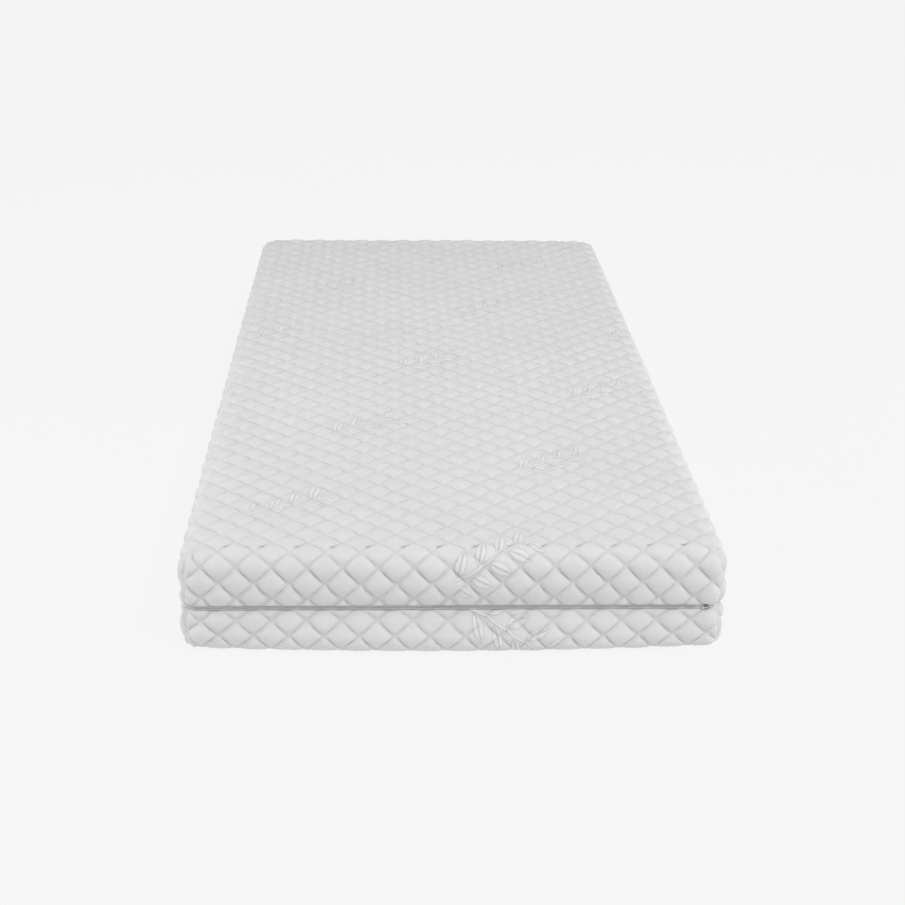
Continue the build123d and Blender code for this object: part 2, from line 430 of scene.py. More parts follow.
def drift(u, v):
    """A slow wander of the stitch lines along u and v, from fixed waves."""
    wander_u = np.sin(7.1 * u + 11.3 * v + 0.4) + 0.6 * np.sin(19.7 * u - 6.1 * v + 2.1)
    wander_v = np.sin(9.3 * u - 5.2 * v + 1.3) + 0.6 * np.sin(-4.9 * u + 21.3 * v + 0.2)
    return DRIFT * wander_u, DRIFT * wander_v


# %% [markdown]
# ## Placing a layer
# Every layer of the sandwich uses the same fold and the same pillows, at its own depth.
# At the lip and down the corner seams all the layers are sewn flat, so the pillows fade there.
# The face of a soft mattress is never quite flat and its ends bow outwards a little,
# so a slow wave and a bow are added last, to every layer alike.

# %% Bow the ends and choose the fullness
END_BOW = 0.0070
BELLY_BOW = 0.0110
SIDE_BOW = 0.0020
FACE_WAVE = 0.0011
BOW_END_REACH = 0.30
BOW_SIDE_REACH = 0.20
ZIP_CALM = (0.004, 0.045)
BELLY_FULL_Z = 0.010
WAVE_CLEAR = 0.03
FACE_FULL = 0.75
SIDE_FULL = 0.75
BACK_FULL = 0.8
PRESSED = 0.25
FACE_TO_WALL = (0.004, 0.045)
PRESSED_TO_WALL = (0.022, 0.040)


def slow_shape(points):
    """The bow of the two ends, and gentle unevenness, added to points (n, 3)."""
    x, y, z = points.T
    from_zip = ramp(np.abs(z - ZIP_Z), *ZIP_CALM)
    end = ramp(np.abs(y), HALF_LENGTH - BOW_END_REACH, HALF_LENGTH)
    side = ramp(np.abs(x), HALF_WIDTH - BOW_SIDE_REACH, HALF_WIDTH)
    moved = points.copy()
    belly = END_BOW + BELLY_BOW * ramp(-z, -ZIP_Z, -BELLY_FULL_Z)
    moved[:, 1] += np.sign(y) * belly * (1 - (x / HALF_WIDTH) ** 2) * end * from_zip
    moved[:, 0] += np.sign(x) * SIDE_BOW * (1 - (y / HALF_LENGTH) ** 2) * side * from_zip
    wave = np.sin(5.3 * x + 3.1 * y + 0.5) * np.sin(4.1 * y - 2.3 * x + 1.9)
    moved[:, 2] += FACE_WAVE * wave * ramp(z, ZIP_Z + WAVE_CLEAR, HEIGHT)
    return moved


def fullness(half, part, u, v):
    """How full the pillows are: less on the face and long sides, and pressed flat underneath."""
    past = np.maximum(np.abs(u) - half.flat_x, np.abs(v) - half.flat_y)
    if half.way > 0:
        loose = {"front": 1.0, "back": BACK_FULL}.get(part, SIDE_FULL)
        return FACE_FULL + (loose - FACE_FULL) * ramp(past, *FACE_TO_WALL)
    loose = 1.0 if part in ENDS else SIDE_FULL
    return PRESSED + (loose - PRESSED) * ramp(past, *PRESSED_TO_WALL)


# %% Place the points of a part
UPPER_HEM = 0.007
LOWER_HEM = 0.013
CORNER_GROOVE = 0.0007
SEAM_WIDTH = 0.005
CORNER_CALM = (0.03, 0.12)
CORNER_FADE = 0.02
POINT_FADE = 0.018
SLACK_FADE = 0.03
LIP_CALM = 0.02
LIP_NEAR = 0.05
OFF_LINE = 1e-9


def place(half, part, flat, depth):
    """Points in space of flat points (n, 2) of one part; depth(puff) is how far a layer stands out."""
    u, v = flat.T
    a = (u - half.phase[0]) / PITCH_X + (v - half.phase[1]) / half.pitch_y
    b = (v - half.phase[1]) / half.pitch_y - (u - half.phase[0]) / PITCH_X
    puff, slack = puff_at(a + OFF_LINE, b + OFF_LINE)
    wander_u, wander_v = drift(u, v)
    from_corner = np.hypot(np.maximum(half.flat_x - np.abs(u), 0), np.maximum(half.flat_y - np.abs(v), 0))
    calm = ramp(from_corner, *CORNER_CALM)
    to_point = np.hypot(np.abs(u) - half.flat_x, np.abs(v) - half.flat_y)
    puff[:, 2] *= fullness(half, part, u, v)
    looseness = SLACK_ON_FACE if part == "face" else SLACK_ON_WALL
    puff[:, 2] += slack * looseness * ramp(to_point, 0.0, SLACK_FADE)
    puff[:, 2] *= ramp(to_point, 0.0, POINT_FADE)
    if part == "face":
        stand = depth(puff[:, 2], np.ones(len(u)))
        moved_u = u + (puff[:, 0] + wander_u) * calm
        moved_v = v + (puff[:, 1] + wander_v) * calm
        height = half.panel_z + half.way * stand
        return np.stack([moved_u, moved_v, height], axis=1), a, b, np.full(len(u), 1.0)
    endwise = part in ENDS
    sign = -1 if part in ("front", "left") else 1
    along, down = (u, sign * v - half.flat_y) if endwise else (v, sign * u - half.flat_x)
    flat_size, half_out = (half.flat_x, HALF_LENGTH) if endwise else (half.flat_y, HALF_WIDTH)
    to_lip = half.reach - down
    hem = ramp(to_lip, 0, UPPER_HEM if half.way > 0 else LOWER_HEM)
    calm = calm * ramp(to_lip, 0.0, LIP_CALM)
    shift_along, shift_down = (0, 1) if endwise else (1, 0)
    wander = (wander_u, wander_v)
    moved_along = along + (puff[:, shift_along] + wander[shift_along]) * calm * (np.abs(along) < flat_size)
    moved_down = down + sign * (puff[:, shift_down] + wander[shift_down]) * calm
    inset, height, out_part, up_part = half.profile(moved_down)
    share = np.clip((np.abs(along) - flat_size) / half.corner_run, 0, 1)
    run = np.maximum(half.roll - np.clip(inset, 0, half.roll), 0) * np.pi / 4
    to_seam = (1 - share) * run
    squeezed = 1 - ramp(share, 0, 0.5) * (1 - ramp(run, 0, CORNER_FADE))
    seam = 1 - ramp(to_seam, 0, SEAM_WIDTH)
    corner = np.where(share > 0, squeezed * (1 - seam), 1.0)
    groove = np.where(share > 0, CORNER_GROOVE * seam * ramp(run, 0, CORNER_FADE), 0)
    stand = depth(puff[:, 2] * hem * corner, hem) - groove
    across, out, side_part, face_part = half.plan(moved_along, inset, flat_size, half_out)
    across = across + side_part * out_part * stand
    out = out + face_part * out_part * stand
    height = height + up_part * stand
    plan = (across, sign * out) if endwise else (sign * out, across)
    return np.stack([*plan, height], axis=1), a, b, np.minimum(to_lip, LIP_NEAR) / LIP_NEAR


# %% Build a layer
PARTS = ("face", *ENDS, "left", "right")
FLOOR_GAP = 0.0003
SLOT_HALF = 0.00425
KNIT_THICK = 0.0008


def seams_of(half, part, places):
    """The two corner seams of a flap: (axis across the seam, where it is, places along it)."""
    wide, deep = half.flat_x + half.corner_run, half.flat_y + half.corner_run
    sign = -1 if part in ("front", "left") else 1
    if part == "face":
        return []
    if part in ENDS:
        return [(0, side * wide, sign * (places[side, sign] + half.flat_y)) for side in SIDES]
    return [(1, side * deep, sign * (places[sign, side] + half.flat_x)) for side in SIDES]


def hem_lines(half, part):
    """Extra cuts along the lip, so that its tight turn is round: (axis across the lip, where it is)."""
    if part == "face":
        return []
    axis, flat_size = (1, half.flat_y) if part in ENDS else (0, half.flat_x)
    sign = -1 if part in ("front", "left") else 1
    return [(axis, sign * (flat_size + half.reach - cut)) for cut in HEM_CUTS]


def layer_mesh(half, steps, depth):
    """Points, faces and quilt coordinates (a, b, nearness to the lip) of one layer of a half."""
    points, faces, quilt, start = [], [], [], 0
    places = seam_places(half, steps)
    for part in PARTS:
        box, seams = outline_of(half, part), seams_of(half, part, places)
        flat, cut = cut_quilt(half, box, steps, seams, hem_lines(half, part))
        placed, a, b, lip = place(half, part, flat, depth)
        points.append(placed)
        quilt.append(np.stack([a, b, lip], axis=1))
        faces += [[k + start for k in face] for face in cut]
        start += len(placed)
    points = slow_shape(np.concatenate(points))
    points[:, 2] = np.maximum(points[:, 2], FLOOR_GAP)
    clear = SLOT_HALF if depth is knit_depth else SLOT_HALF + KNIT_THICK
    if half.way > 0:
        points[:, 2] = np.maximum(points[:, 2], ZIP_Z + clear)
    else:
        points[:, 2] = np.minimum(points[:, 2], ZIP_Z - clear)
    return points, faces, np.concatenate(quilt)


# %% Turn a layer into an object
def mesh_object(name, points, faces, quilt=None, weld=1e-4, face_outward=True):
    """An object with smooth faces, welded where its parts meet, that keeps its quilt coordinates."""
    mesh = bpy.data.meshes.new(name)
    mesh.from_pydata(np.asarray(points).tolist(), [], faces)
    if quilt is not None:
        layer = mesh.attributes.new("quilt", "FLOAT_VECTOR", "CORNER")
        corners = np.concatenate([np.asarray(face) for face in faces])
        layer.data.foreach_set("vector", quilt[corners].astype(np.float32).ravel())
    work = bmesh.new()
    work.from_mesh(mesh)
    bmesh.ops.remove_doubles(work, verts=work.verts, dist=weld)
    bmesh.ops.dissolve_degenerate(work, edges=work.edges, dist=1e-5)
    if face_outward:
        bmesh.ops.recalc_face_normals(work, faces=work.faces)
    work.to_mesh(mesh)
    work.free()
    mesh.shade_smooth()
    piece = bpy.data.objects.new(name, mesh)
    bpy.context.collection.objects.link(piece)
    return piece


def attach(piece, body, slot, *replaced):
    """Tells the frame what a piece moves with and which plain solids it stands for; the finish slot is not
    used.
    """
    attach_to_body(piece, body)
    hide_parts(*replaced)
    print(f"{piece.name}: {len(piece.data.polygons)} faces, rides {body}")


# %% [markdown]
# ## The knit face of the cover
# The outside is a white stretch knit. It stands proud over each pillow and is pulled in a
# little along the stitches. Each half is one cut panel whose four flaps are sewn at the corners.

# %% Make the two knit covers
STITCH_PULL = 0.0006
PULL_FADE = 0.0012


def knit_depth(puff, hem):
    """How far the knit stands out: by the pillow, less the pull of the stitches."""
    return puff - STITCH_PULL * hem * (1 - ramp(puff, 0, PULL_FADE))


def both_halves(name, slot, kind, build, **options):
    """The same piece for the upper and the lower half of the cover."""
    pieces = []
    for side, half in (("upper", upper_half), ("lower", lower_half)):
        piece = mesh_object(f"{name}_{side}", *build(half, side), **options)
        attach(piece, f"{side}_cover", slot, f"{side}_{kind}")
        pieces.append(piece)
    return pieces


upper_knit, lower_knit = both_halves(
    "quilted_knit", "cover_knit", "cover_knit", lambda half, _: layer_mesh(half, STEPS, knit_depth), weld=3e-4
)

# %% [markdown]
# ## The wadding and the backing
# Under the knit lies a fluffy polyester wadding, and inside it a thin non-woven backing that the
# stitches also go through. The wadding is a closed, padded form: its outer face follows the
# pillows, its inner face is nearly flat, and its rim closes at the zip. The backing is one
# sheet, seen only when the cover is open. Both need fewer points than the knit.

# %% Make the wadding
LAYER_STEPS = np.array([0, 0.14, 0.50, 0.86, 1.0])
WADDING_BACK = 0.0017
BACKING_BACK = 0.0021
DIMPLE = 0.06
UNDER_SHARE = 0.6
UNDER_MOST = 0.0014


def wadding_outer(puff, hem):
    """The wadding's outer face, and lower under the pillows, where its coarser faces could show."""
    return knit_depth(puff, hem) - KNIT_THICK - np.minimum(UNDER_SHARE * puff, UNDER_MOST)


def wadding_inner(puff, hem):
    """The wadding's inner face, dimpled by the stitches."""
    return -WADDING_BACK - DIMPLE * puff * hem


def backing_depth(puff, hem):
    """The backing, just inside the wadding."""
    return -BACKING_BACK - DIMPLE * puff * hem


def rim_edges(faces):
    """Edges that only one face uses, in the direction that the face uses them."""
    seen = {(start, end): True for face in faces for start, end in zip(face, face[1:] + face[:1])}
    return [edge for edge in seen if (edge[1], edge[0]) not in seen]


def welded(points, faces, dist=1e-4):
    """Points and faces with points closer than dist made one."""
    keys = np.round(points / dist).astype(np.int64)
    _, first, inverse = np.unique(keys, axis=0, return_index=True, return_inverse=True)
    inverse = inverse.ravel()
    kept = []
    for face in faces:
        ring = [int(inverse[k]) for k in face]
        ring = [k for i, k in enumerate(ring) if k != ring[i - 1]]
        if len(set(ring)) > 2:
            kept.append(ring)
    return first, kept


def wadding_mesh(half):
    """A closed pad: outer face, inner face turned over, and a rim between them."""
    outer, faces, _ = layer_mesh(half, LAYER_STEPS, wadding_outer)
    inner, _, _ = layer_mesh(half, LAYER_STEPS, wadding_inner)
    first, faces = welded(outer, faces)
    outer, inner, count = outer[first], inner[first], len(first)
    turned = [[k + count for k in reversed(face)] for face in faces]
    rim = [[end, start, start + count, end + count] for start, end in rim_edges(faces)]
    return np.concatenate([outer, inner]), faces + turned + rim


upper_wadding, lower_wadding = both_halves(
    "wadding", "wadding", "cover_wadding", lambda half, _: wadding_mesh(half), weld=1e-6
)

# %% Make the backing
upper_backing, lower_backing = both_halves(
    "backing", "backing", "cover_backing", lambda half, _: layer_mesh(half, LAYER_STEPS, backing_depth)
)

# %% [markdown]
# ## The foam core in its liner
# The core is two glued slabs of foam cut with a hot wire, so the edges are nearly square and
# slightly soft. A thin jersey liner fits over them like a sock, with small pull wrinkles at
# the corners and an overlocked seam round its middle. A rounded block function gives all three.

# %% Make a rounded block
EDGE_STEPS = 7


def block_lines(low, high, low_radius, high_radius, spacing):
    """Grid places along one side, close together in the rounded edges."""
    edge = 1 - np.cos(np.linspace(0, np.pi / 2, EDGE_STEPS))
    start, end = low + low_radius, high - high_radius
    middle = np.linspace(start, end, max(int((end - start) / spacing), 1) + 1)
    return np.unique(np.concatenate([low + low_radius * edge, middle, high - high_radius * edge]).round(6))


def rounded_block(low, high, low_radius, high_radius, spacing):
    """Points, faces and outward directions of a box with (x, y, z) rounding radii at each end."""
    low, high, low_radius, high_radius = (np.array(c, float) for c in (low, high, low_radius, high_radius))
    lines = [block_lines(low[k], high[k], low_radius[k], high_radius[k], spacing) for k in range(3)]
    points, faces, start = [], [], 0
    for axis in range(3):
        first, second = (axis + 1) % 3, (axis + 2) % 3
        p, q = np.meshgrid(lines[first], lines[second], indexing="ij")
        for side in (0, 1):
            sheet = np.empty((*p.shape, 3))
            sheet[..., first], sheet[..., second] = p, q
            sheet[..., axis] = high[axis] if side else low[axis]
            grid = grid_faces(*p.shape) + start
            faces += (grid if side else grid[:, ::-1]).tolist()
            points.append(sheet.reshape(-1, 3))
            start += p.size
    points = np.concatenate(points)
    core = np.clip(points, low + low_radius, high - high_radius)
    away = points - core
    radius = np.where(away < 0, low_radius, high_radius)
    unit = away / radius
    unit /= np.maximum(np.linalg.norm(unit, axis=1, keepdims=True), 1e-9)
    outward = unit / radius
    outward /= np.maximum(np.linalg.norm(outward, axis=1, keepdims=True), 1e-9)
    return core + unit * radius, faces, outward


# %% Make the two foam slabs
TOP_ROUND = (0.032, 0.032, 0.031)
BOTTOM_ROUND = (0.032, 0.032, 0.013)
GLUED = (0.032, 0.032, 0.0006)
RIPPLE = 0.00025
RIPPLE_MARGIN = 0.0004


def cut_ripple(points):
    """The faint ripple that a hot wire leaves on cut foam."""
    x, y, z = points.T
    return RIPPLE * np.sin(61 * x + 5 * np.sin(3 * y)) * np.sin(47 * y + 4 * np.sin(5 * z + x))


def foam_slab(name, node, slot, low_round, high_round):
    """A slab in the space of its plain solid, a little under size so that the ripple stays inside."""
    low, high = (np.array(c, float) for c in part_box(node))
    points, faces, outward = rounded_block(
        low + RIPPLE_MARGIN, high - RIPPLE_MARGIN, low_round, high_round, spacing=0.012
    )
    slab = mesh_object(name, points + outward * cut_ripple(points)[:, None], faces)
    attach(slab, "foam_core", slot, node)
    return slab


memory_foam = foam_slab("memory_foam_slab", "memory_foam_layer", "memory_foam", GLUED, TOP_ROUND)
support_foam = foam_slab("support_foam_slab", "support_foam_base", "support_foam", BOTTOM_ROUND, GLUED)


# %% Make the liner
LINER_THICK = 0.0004
LINER_FAN = 0.0011
FAN_REACH = 0.16
UPRIGHT = 0.01
LINER_LOOSE = 0.0004
LINER_SEAM = 0.0007
SEAM_SPREAD = 0.0022
liner_low, liner_high = (np.array(c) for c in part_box("inner_liner"))


def liner_wrinkles(points):
    """Pull wrinkles that fan out of the eight corners, and a seam round the middle."""
    x, y, z = points.T
    to_x = np.minimum(x - liner_low[0], liner_high[0] - x)
    to_y = np.minimum(y - liner_low[1], liner_high[1] - y)
    seam_z = (liner_low[2] + liner_high[2]) / 2
    near = np.exp(-((np.hypot(to_x, to_y) / FAN_REACH) ** 2))
    fan = np.sin(9 * np.arctan2(to_y + 0.02, to_x + 0.02)) ** 2
    loose = 0.5 + 0.5 * np.sin(23 * x + 9 * y) * np.sin(17 * y - 11 * x + 20 * z)
    upright = (to_x < UPRIGHT) | (to_y < UPRIGHT)
    seam = np.exp(-(((z - seam_z) / SEAM_SPREAD) ** 2)) * upright
    return LINER_FAN * near * fan + LINER_LOOSE * loose + LINER_SEAM * seam


liner_points, liner_faces, liner_out = rounded_block(
    liner_low, liner_high, BOTTOM_ROUND, TOP_ROUND, spacing=0.010
)
liner_first, liner_faces = welded(liner_points, liner_faces)
liner_points, liner_out = liner_points[liner_first], liner_out[liner_first]
wrinkled = liner_points + liner_out * liner_wrinkles(liner_points)[:, None]
inside = wrinkled - liner_out * LINER_THICK
turned_faces = [[k + len(wrinkled) for k in reversed(face)] for face in liner_faces]
liner_points = np.concatenate([wrinkled, inside])
liner = mesh_object("jersey_liner", liner_points, liner_faces + turned_faces, weld=1e-6, face_outward=False)
attach(liner, "foam_core", "liner_jersey", "inner_liner")

# %% [markdown]
# ## The zip
# Each side of the zip is a woven tape with a coil of nylon monofilament sewn along its edge.
# Tape and coil are swept along the cover's rounded outline. The coil is one long spring of
# loops, which is what makes a closed zip look ribbed up close.

# %% The outline that the zip follows
def outline_path(inset, spacing, start=None, end_y=None):
    """Points and outward directions along the cover's outline, clockwise from the front right."""
    radius = CORNER - inset
    half_x, half_y = HALF_WIDTH - inset, HALF_LENGTH - inset
    runs = []
    for turn in range(4):
        direction = np.deg2rad(-90 - 90 * turn)
        outward = np.array([np.cos(direction), np.sin(direction)])
        onward = np.array([outward[1], -outward[0]])
        across, ahead = (half_y, half_x) if turn % 2 == 0 else (half_x, half_y)
        reach = ahead - radius
        straight = np.linspace(-reach, reach, int(2 * reach / spacing) + 1)
        places = outward * across + straight[:, None] * onward
        runs.append((places, np.tile(outward, (len(straight), 1))))
        angles = np.linspace(0, np.pi / 2, max(int(radius * np.pi / 2 / spacing), 6) + 1)[1:-1]
        bend = np.cos(angles)[:, None] * outward + np.sin(angles)[:, None] * onward
        middle = outward * (across - radius) + onward * reach
        runs.append((middle + radius * bend, bend))
    points = np.concatenate([r[0] for r in runs])
    outwards = np.concatenate([r[1] for r in runs])
    if start is not None:
        first = int(np.argmax(points[:, 0] <= start))
        last = len(points) - 1 - int(np.argmax(points[::-1, 1] >= end_y))
        keep = slice(first, last + 1)
        on_right = (points[:, 0] > 0.9 * half_x) & (points[:, 1] < end_y)
        points, outwards = points[keep][~on_right[keep]], outwards[keep][~on_right[keep]]
    return points, outwards


# %% Sweep a band along it
def swept(section, points, outwards, closed):
    """A band: section holds (out, height) pairs, carried along the path and joined into a tube."""
    section = np.asarray(section, float)
    rings, sides = len(points), len(section)
    flat = points[:, None] + outwards[:, None] * section[None, :, :1]
    height = np.broadcast_to(section[None, :, 1:], (rings, sides, 1))
    placed = np.concatenate([flat, height], axis=2).reshape(-1, 3)
    faces = []
    for ring in range(rings if closed else rings - 1):
        after = (ring + 1) % rings
        for side in range(sides):
            beside = (side + 1) % sides
            near, far = ring * sides, after * sides
            faces.append([near + side, near + beside, far + beside, far + side])
    if not closed:
        faces += [list(range(sides))[::-1], [(rings - 1) * sides + side for side in range(sides)]]
    return placed, faces


# %% Make the zip tapes
TAPE_THICK = 0.00022
TAPE_BEAD = 0.00028
BEAD_SHARE = 0.06
for name, node, body in (
    ("zip_tape_upper", "upper_zip_tape", "upper_cover"),
    ("zip_tape_lower", "lower_zip_tape", "lower_cover"),
):
    low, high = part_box(node)
    inset = HALF_WIDTH - high[0]
    path, outward = outline_path(inset + 0.0003, 0.010)
    edge = np.linspace(0, 1, 9)
    beads = np.exp(-((edge / BEAD_SHARE) ** 2)) + np.exp(-(((1 - edge) / BEAD_SHARE) ** 2))
    swell = TAPE_THICK + (TAPE_BEAD - TAPE_THICK) * beads
    heights = low[2] + (high[2] - low[2]) * edge
    section = np.concatenate([np.stack([swell, heights], 1), np.stack([-swell, heights], 1)[::-1]])
    tape = mesh_object(name, *swept(section, path, outward, closed=True))
    attach(tape, body, "zip_tape", node)

# %% Make the zip coils
LOOP = 0.0020
STRAND = 0.00052
COIL_DEEP = 0.0024
slider_low, slider_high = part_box("zip_slider_body")
coil_start = (slider_low[0] + slider_high[0]) / 2 + 0.0015


def coil_mesh(node):
    """One side's spring: a strand that loops out and back every two millimetres."""
    low, high = (np.array(c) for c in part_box(node))
    stop_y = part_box(node.replace("coil", "stops"))[1][1] + 0.001
    inset = HALF_WIDTH - high[0]
    middle, outward = outline_path(inset + COIL_DEEP / 2, LOOP / 6, coil_start, stop_y)
    along = np.concatenate([[0], np.cumsum(np.linalg.norm(np.diff(middle, axis=0), axis=1))])
    phase = 2 * np.pi * along / LOOP
    wide, tall = COIL_DEEP / 2 - STRAND, (high[2] - low[2]) / 2 - STRAND
    swing = middle + outward * (wide * np.cos(phase))[:, None]
    rise = (low[2] + high[2]) / 2 + tall * np.sin(phase)
    centre = np.concatenate([swing, rise[:, None]], axis=1)
    forward = np.gradient(centre, axis=0)
    forward /= np.linalg.norm(forward, axis=1, keepdims=True)
    radial = np.concatenate([outward * np.cos(phase)[:, None], np.sin(phase)[:, None]], axis=1)
    radial -= forward * (radial * forward).sum(1, keepdims=True)
    radial /= np.linalg.norm(radial, axis=1, keepdims=True)
    beside = np.cross(forward, radial)
    ring = [radial, beside, -radial, -beside]
    placed = np.stack([centre + STRAND * r for r in ring], axis=1).reshape(-1, 3)
    k = np.arange(len(centre) * 4).reshape(-1, 4)
    beside = [(i + 1) % 4 for i in range(4)]
    sides = [np.stack([k[:-1, i], k[1:, i], k[1:, j], k[:-1, j]], 1) for i, j in enumerate(beside)]
    faces = np.concatenate(sides).tolist() + [k[0].tolist(), k[-1][::-1].tolist()]
    return placed, faces


upper_coil, lower_coil = both_halves(
    "zip_coil", "zip_coil", "zip_coil", lambda _, side: coil_mesh(f"{side}_zip_coil"), weld=1e-7
)

# %% [markdown]
# ## The care label
# A small satin label is sewn inside the back wall of the lower cover by its top edge.
# Its free edge curls away from the wall, which a flat card could not show.

# %% Make the care label
CURL = 0.0016
CURL_WAVE = 0.0002
LABEL_GRID = (41, 25)
label_low, label_high = (np.array(c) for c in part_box("care_label"))
across = np.linspace(label_low[0], label_high[0], LABEL_GRID[0])
down = np.linspace(label_high[2], label_low[2], LABEL_GRID[1])
label_x, label_z = np.meshgrid(across, down, indexing="ij")
drop = (label_high[2] - label_z) / (label_high[2] - label_low[2])
side = (label_x - across.mean()) / (across[-1] - across[0])
curl = CURL * drop**2 * (0.7 + 0.3 * np.cos(2 * np.pi * side)) + CURL_WAVE * np.sin(31 * side) * drop
label_y = label_high[1] - 0.0001 - curl
label_points = np.stack([label_x, label_y, label_z], -1).reshape(-1, 3)
label = mesh_object("care_label_satin", label_points, grid_faces(*LABEL_GRID).tolist())
attach(label, "lower_cover", "label_satin", "care_label")

# %% [markdown]
# ## Helpers for materials
# A finish is a small network of nodes. These helpers add one node at a time and join its inputs,
# so that each material below reads like a recipe.

# %% Add and join nodes
def add(tree, kind, inputs=(), output=0, **settings):
    """Adds a node, sets it, and fills its inputs by name or number with a value or another node's output."""
    made = tree.nodes.new(kind)
    for name, value in settings.items():
        setattr(made, name, value)
    for key, value in dict(inputs).items():
        if isinstance(value, bpy.types.NodeSocket):
            tree.links.new(value, made.inputs[key])
        else:
            made.inputs[key].default_value = value
    return made.outputs[output]


def maths(tree, operation, *values):
    """One sum on numbers."""
    return add(tree, "ShaderNodeMath", dict(enumerate(values)), operation=operation)


def times(tree, first, second):
    """One number times another."""
    return maths(tree, "MULTIPLY", first, second)


def plus(tree, first, second):
    """The sum of two numbers."""
    return maths(tree, "ADD", first, second)


def minus(tree, first, second):
    """The first number less the second."""
    return maths(tree, "SUBTRACT", first, second)


def over(tree, first, second):
    """The first number divided by the second."""
    return maths(tree, "DIVIDE", first, second)


def times_plus(tree, first, second, more):
    """One number times another, and a third added."""
    return maths(tree, "MULTIPLY_ADD", first, second, more)


def far(tree, value):
    """How far a number is from zero."""
    return maths(tree, "ABSOLUTE", value)


def wave(tree, value, length):
    """A wave from -1 to 1 that repeats every length in metres."""
    return maths(tree, "SINE", times(tree, value, 2 * np.pi / length))


def parts_of(tree, vector):
    """The three numbers of a place."""
    made = tree.nodes.new("ShaderNodeSeparateXYZ")
    tree.links.new(vector, made.inputs[0])
    return made.outputs


def between(tree, value, start, end, low=0.0, high=1.0):
    """A smooth step of a number from low to high."""
    inputs = {"Value": value, "From Min": start, "From Max": end, "To Min": low, "To Max": high}
    return add(tree, "ShaderNodeMapRange", inputs, interpolation_type="SMOOTHSTEP")


def blend_colours(tree, share, first, second):
    """A mix of two colours by a share from 0 to 1."""
    made = tree.nodes.new("ShaderNodeMix")
    made.data_type = "RGBA"
    for key, value in ((0, share), (6, first), (7, second)):
        if isinstance(value, bpy.types.NodeSocket):
            tree.links.new(value, made.inputs[key])
        else:
            made.inputs[key].default_value = value
    return made.outputs[2]


def raised(tree, height, distance, strength=1.0):
    """A bump from a height, where a height of one stands out by distance in metres."""
    return add(tree, "ShaderNodeBump", {"Height": height, "Distance": distance, "Strength": strength})


# %% Start a finish and place an effect
def grey(value, warmth=0.0):
    """A near-neutral colour; warmth shifts it a touch towards yellow."""
    return (value * (1 + warmth), value, value * (1 - warmth), 1.0)


def finish(name, **constants):
    """A new material: its tree, and its Principled shader with the constant values set on it."""
    made = bpy.data.materials.new(name)
    made.use_nodes = True
    shader = made.node_tree.nodes["Principled BSDF"]
    for key, value in constants.items():
        shader.inputs[key.replace("_", " ")].default_value = value
    return made, made.node_tree, shader


def dress(tree, shader, colour, roughness, height, distance):
    """Joins a finish's colour, its roughness and a bump of its height to the shader."""
    tree.links.new(colour, shader.inputs["Base Color"])
    tree.links.new(roughness, shader.inputs["Roughness"])
    tree.links.new(raised(tree, height, distance), shader.inputs["Normal"])


def effect(name, inputs, outputs):
    """A new shader node group: its tree, its inputs and its output node."""
    group = bpy.data.node_groups.new(name, "ShaderNodeTree")
    for socket, kind, value in inputs:
        made = group.interface.new_socket(socket, in_out="INPUT", socket_type=kind)
        if value is not None:
            made.default_value = value
    for socket, kind in outputs:
        group.interface.new_socket(socket, in_out="OUTPUT", socket_type=kind)
    return group, group.nodes.new("NodeGroupInput").outputs, group.nodes.new("NodeGroupOutput").inputs


def use(tree, group, **inputs):
    """Places a group in a material and returns its outputs."""
    placed = tree.nodes.new("ShaderNodeGroup")
    placed.node_tree = group
    for key, value in inputs.items():
        socket = placed.inputs[key.replace("_", " ")]
        if isinstance(value, bpy.types.NodeSocket):
            tree.links.new(value, socket)
        else:
            socket.default_value = value
    return placed.outputs


NUMBER, PLACE = "NodeSocketFloat", "NodeSocketVector"

# %% [markdown]
# ## Effects that several finishes share
# Knit loops, soft unevenness, quilting stitches and foam cells each show in more than one
# material. Each is a node group with named inputs, so one change reaches every use.

# %% Knit loops
def build_knit_loops():
    """Rows of small loops: wales run along y of the place given, courses along x."""
    group, given, out = effect(
        "knit_loops",
        [("Place", PLACE, None), ("Wale", NUMBER, 0.0012), ("Course", NUMBER, 0.0009)],
        [("Height", NUMBER)],
    )
    part = parts_of(group, given["Place"])
    turns_x = over(group, times(group, part[0], 2 * np.pi), given["Wale"])
    turns_y = over(group, times(group, part[1], 2 * np.pi), given["Course"])
    bow = times(group, maths(group, "COSINE", turns_x), 1.3)
    wale = far(group, maths(group, "SINE", times(group, turns_x, 0.5)))
    course = maths(group, "SINE", plus(group, turns_y, bow))
    loop = times(group, wale, times_plus(group, course, 0.35, 0.65))
    group.links.new(loop, out["Height"])
    return group


# %% Soft unevenness
def build_soft_unevenness():
    """Slow and quick unevenness of a surface, each from 0 to 1, from a place in metres."""
    group, given, out = effect(
        "soft_unevenness",
        [("Place", PLACE, None), ("Slow size", NUMBER, 0.20), ("Quick size", NUMBER, 0.012)],
        [("Slow", NUMBER), ("Quick", NUMBER)],
    )
    for name in ("Slow", "Quick"):
        scale = over(group, 1.0, given[name + " size"])
        detail = {"Vector": given["Place"], "Scale": scale, "Detail": 3.0, "Roughness": 0.55}
        noise = add(group, "ShaderNodeTexNoise", detail)
        group.links.new(between(group, noise, 0.3, 0.7), out[name])
    return group


# %% Quilting stitches
DASH_EDGE = (0.46, 0.34)
CREASE_SHADE_WIDTH = 0.0035


